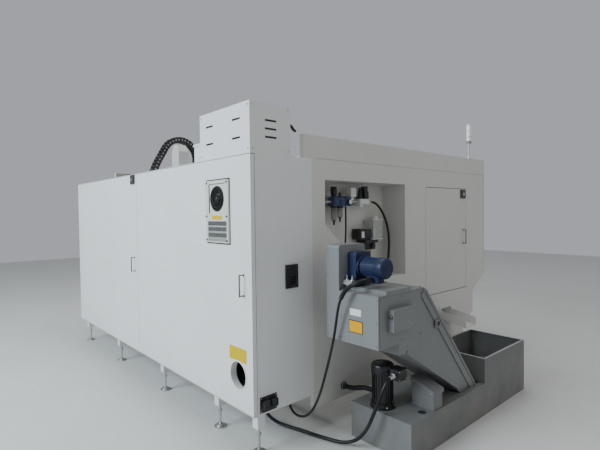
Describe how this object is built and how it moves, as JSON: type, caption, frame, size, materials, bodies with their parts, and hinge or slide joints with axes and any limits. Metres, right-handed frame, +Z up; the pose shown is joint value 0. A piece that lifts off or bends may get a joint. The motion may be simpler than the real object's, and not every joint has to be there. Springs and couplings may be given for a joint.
{
  "type": "cnc machining center",
  "caption": "Fully enclosed vertical machining center with rear electrical cabinet, chip conveyor, coolant tank and pump, drag chain and a sliding operator door.",
  "frame": {"origin": "centre of the whole machine's footprint, on the floor", "axes": "+X along the machine's width, from the conveyor side to the plain side; +Y to the rear, where the electrical cabinet is; +Z up"},
  "size_m": [4.45, 3.418, 2.5784],
  "materials": {
    "cream_sheet": "fine texture",
    "cabinet_grey": "fine texture",
    "casting_paint": "smooth enamel",
    "machined_steel": "ground",
    "bright_steel": "polished",
    "dark_steel": "satin",
    "motor_black": "satin",
    "drive_blue": "semi gloss",
    "zinc_plate": "zinc plated",
    "black_plastic": "matt",
    "white_plastic": "matt",
    "clear_plastic": "translucent",
    "red_plastic": "gloss",
    "hose_rubber": "matt",
    "air_tube": "matt",
    "window_glass": "clear"
  },
  "bodies": {
    "machine": {"air_hose": "air_tube", "air_unit": "dark_steel", "axis_motors": "motor_black", "bed": "casting_paint", "cabinet_shell": "cabinet_grey", "chain_guard": "cream_sheet", "chip_chute": "cream_sheet", "column": "casting_paint", "column_brackets": "casting_paint", "conveyor_belt": "machined_steel", "conveyor_housing": "cream_sheet", "conveyor_lid": "cream_sheet", "coolant_pipe": "hose_rubber", "coolant_pump": "motor_black", "coolant_tank": "cream_sheet", "drag_chain": "black_plastic", "drain_hose": "air_tube", "foot_screws": "zinc_plate", "front_apron": "cream_sheet", "front_panel": "cream_sheet", "gear_motor": "drive_blue", "guide_rails": "machined_steel", "hinge_pins": "machined_steel", "left_wall": "cream_sheet", "lube_pump": "dark_steel", "lube_reservoir": "clear_plastic", "motor_cable": "hose_rubber", "mounting_plate": "zinc_plate", "operator_console": "cabinet_grey", "pump_hose": "hose_rubber", "right_wall": "cream_sheet", "roof_panel": "cream_sheet", "socket_plate": "white_plastic", "tower_light": "red_plastic", "vent_box": "cabinet_grey"},
    "right_door": {"rear_door_right": "cabinet_grey", "heat_exchanger": "cabinet_grey", "rear_handle_right": "bright_steel"},
    "exchanger_fan": {"exchanger_fan": "black_plastic"},
    "left_door": {"rear_door_left": "cabinet_grey", "rear_handle_left": "bright_steel"},
    "rear_latch": {"rear_latch_insert": "bright_steel"},
    "service_door": {"service_door": "cream_sheet", "service_fittings": "bright_steel"},
    "service_latch": {"service_latch_insert": "bright_steel"},
    "front_door": {"front_door": "cream_sheet", "door_window": "window_glass"},
    "saddle": {"saddle": "casting_paint"},
    "table": {"table": "machined_steel"},
    "head": {"spindle_head": "casting_paint", "spindle_motor": "motor_black"},
    "spindle": {"spindle": "machined_steel"},
    "y_screw": {"y_screw": "machined_steel"},
    "x_screw": {"x_screw": "machined_steel"},
    "z_screw": {"z_screw": "machined_steel"},
    "tool_drum": {"tool_drum": "machined_steel"},
    "conveyor_shaft": {"conveyor_shaft": "machined_steel"},
    "conveyor_drive": {"motor_sprocket": "machined_steel"},
    "stop_button": {"stop_button": "red_plastic"},
    "feed_dial": {"feed_dial": "black_plastic"}
  },
  "joints": [
    {"name": "right_door_swing", "type": "hinge", "parent": "machine", "child": "right_door", "pos_m": [0.323, 1.665, 1.13], "axis": [0, 0, -1], "range_deg": [0, 100]},
    {"name": "left_door_swing", "type": "hinge", "parent": "machine", "child": "left_door", "pos_m": [2.221, 1.665, 1.13], "axis": [0, 0, -1], "range_deg": [0, 100]},
    {"name": "fan_spin", "type": "hinge", "parent": "right_door", "child": "exchanger_fan", "pos_m": [-1.147, 1.669, 1.7], "axis": [0, 1, 0], "continuous": true},
    {"name": "rear_latch_turn", "type": "hinge", "parent": "left_door", "child": "rear_latch", "pos_m": [0.406, 1.683, 1.93], "axis": [0, 1, 0], "range_deg": [0, 90]},
    {"name": "service_door_swing", "type": "hinge", "parent": "machine", "child": "service_door", "pos_m": [-1.518, -0.327, 1.311], "axis": [0, 0, -1], "range_deg": [0, 110]},
    {"name": "service_latch_turn", "type": "hinge", "parent": "service_door", "child": "service_latch", "pos_m": [-1.539, -1.003, 1.768], "axis": [1, 0, 0], "range_deg": [0, 90]},
    {"name": "front_door_slide", "type": "slide", "parent": "machine", "child": "front_door", "axis": [1, 0, 0], "range_m": [-1.05, 0]},
    {"name": "saddle_slide", "type": "slide", "parent": "machine", "child": "saddle", "axis": [0, 1, 0], "range_m": [-0.3, 0.3]},
    {"name": "table_slide", "type": "slide", "parent": "saddle", "child": "table", "axis": [1, 0, 0], "range_m": [-0.45, 0.45]},
    {"name": "head_slide", "type": "slide", "parent": "machine", "child": "head", "axis": [0, 0, 1], "range_m": [-0.5, 0], "deforming": ["drag_chain"]},
    {"name": "spindle_spin", "type": "hinge", "parent": "head", "child": "spindle", "pos_m": [0.975, -0.181, 1.5], "axis": [0, 0, 1], "continuous": true},
    {"name": "y_screw_turn", "type": "hinge", "parent": "machine", "child": "y_screw", "pos_m": [0.975, -0.231, 0.542], "axis": [0, 1, 0], "range_deg": [-5401, 5401]},
    {"name": "x_screw_turn", "type": "hinge", "parent": "saddle", "child": "x_screw", "pos_m": [0.975, -0.231, 0.702], "axis": [1, 0, 0], "range_deg": [-8101, 8101]},
    {"name": "z_screw_turn", "type": "hinge", "parent": "machine", "child": "z_screw", "pos_m": [0.975, 0.427, 1.5], "axis": [0, 0, 1], "range_deg": [-9001, 1]},
    {"name": "tool_drum_turn", "type": "hinge", "parent": "machine", "child": "tool_drum", "pos_m": [0.335, 0.519, 1.69], "axis": [1, 0, 0], "continuous": true},
    {"name": "conveyor_shaft_turn", "type": "hinge", "parent": "machine", "child": "conveyor_shaft", "pos_m": [-1.975, 1.029, 0.935], "axis": [1, 0, 0], "continuous": true},
    {"name": "conveyor_drive_turn", "type": "hinge", "parent": "machine", "child": "conveyor_drive", "pos_m": [-1.808, 1.059, 1.24], "axis": [1, 0, 0], "continuous": true},
    {"name": "stop_button_press", "type": "slide", "parent": "machine", "child": "stop_button", "axis": [0, 1, 0], "range_m": [0, 0.006], "stiffness_N_per_m": 700, "springref_m": -0.004},
    {"name": "feed_dial_turn", "type": "hinge", "parent": "machine", "child": "feed_dial", "pos_m": [1.995, -1.559, 1.56], "axis": [0, 1, 0], "range_deg": [-150, 150]}
  ],
  "couplings": [
    {"joint": "y_screw_turn", "follows": "saddle_slide", "rad_per_m": 314.16},
    {"joint": "x_screw_turn", "follows": "table_slide", "rad_per_m": 314.16},
    {"joint": "z_screw_turn", "follows": "head_slide", "rad_per_m": 314.16},
    {"joint": "conveyor_drive_turn", "follows": "conveyor_shaft_turn", "ratio": 1.5454}
  ]
}
